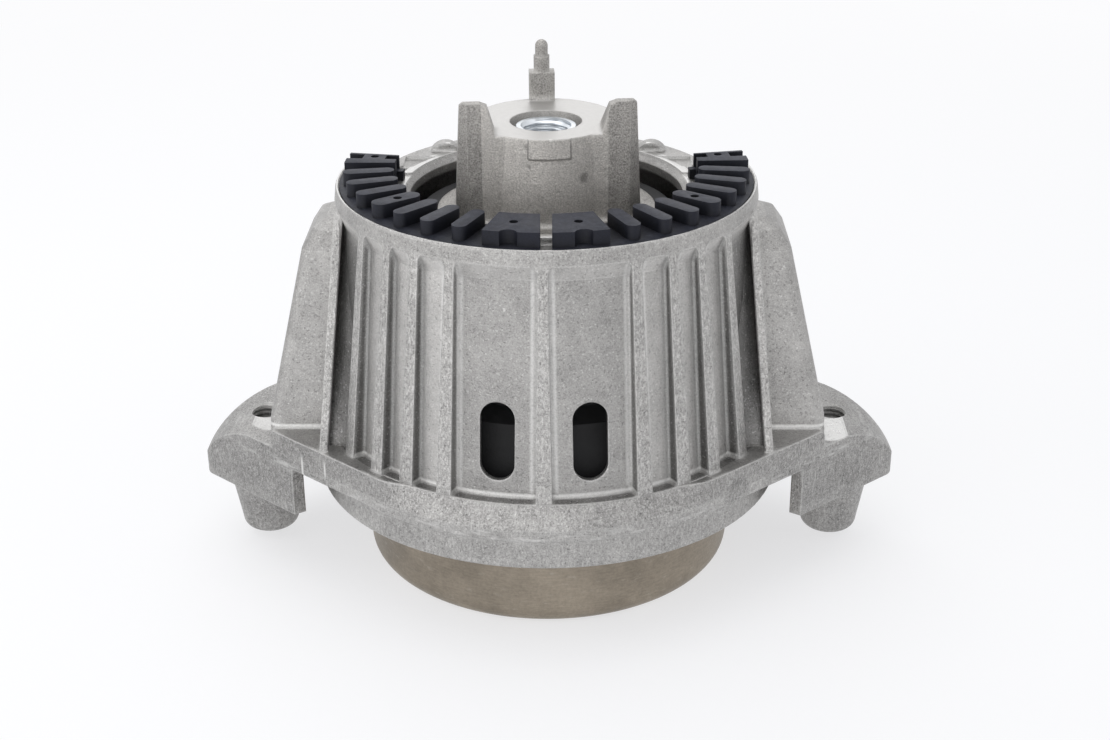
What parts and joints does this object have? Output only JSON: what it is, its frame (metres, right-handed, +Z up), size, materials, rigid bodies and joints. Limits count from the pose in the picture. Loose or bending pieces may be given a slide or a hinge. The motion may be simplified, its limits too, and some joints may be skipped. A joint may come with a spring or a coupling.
{
  "type": "engine mount",
  "caption": "Round hydraulic engine mount: ribbed cast housing with bolting ears, slotted front windows, a toothed stop ring and a lugged centre core with a threaded bush.",
  "frame": {"origin": "on the mount's axis, at the underside of the pan", "axes": "+Z up along the axis, +X through the ears, the wide front windows face -Y"},
  "size_m": [0.2048, 0.138, 0.1461],
  "materials": {
    "cast_housing": "as-cast, fine-grained, light draw marks",
    "cast_core": "as-cast, with machined top face",
    "bright_steel": "turned, bright",
    "spring_rubber": "moulded, dull",
    "plain_steel": "plain sheet and turned steel",
    "stop_plastic": "moulded, slightly satin",
    "plate_alloy": "die-cast",
    "soft_rubber": "moulded, dull",
    "pan_steel": "drawn sheet, olive passivated, satin"
  },
  "bodies": {
    "root": {"housing": "cast_housing", "inner_core": "cast_core", "core_bush": "bright_steel", "main_spring": "spring_rubber", "spring_ring": "plain_steel", "stop_ring_left": "stop_plastic", "stop_ring_right": "stop_plastic", "channel_plate_upper": "plate_alloy", "channel_plate_lower": "plate_alloy", "decoupler": "soft_rubber", "diaphragm": "soft_rubber", "diaphragm_ring": "plain_steel", "pan": "pan_steel"}
  },
  "joints": []
}
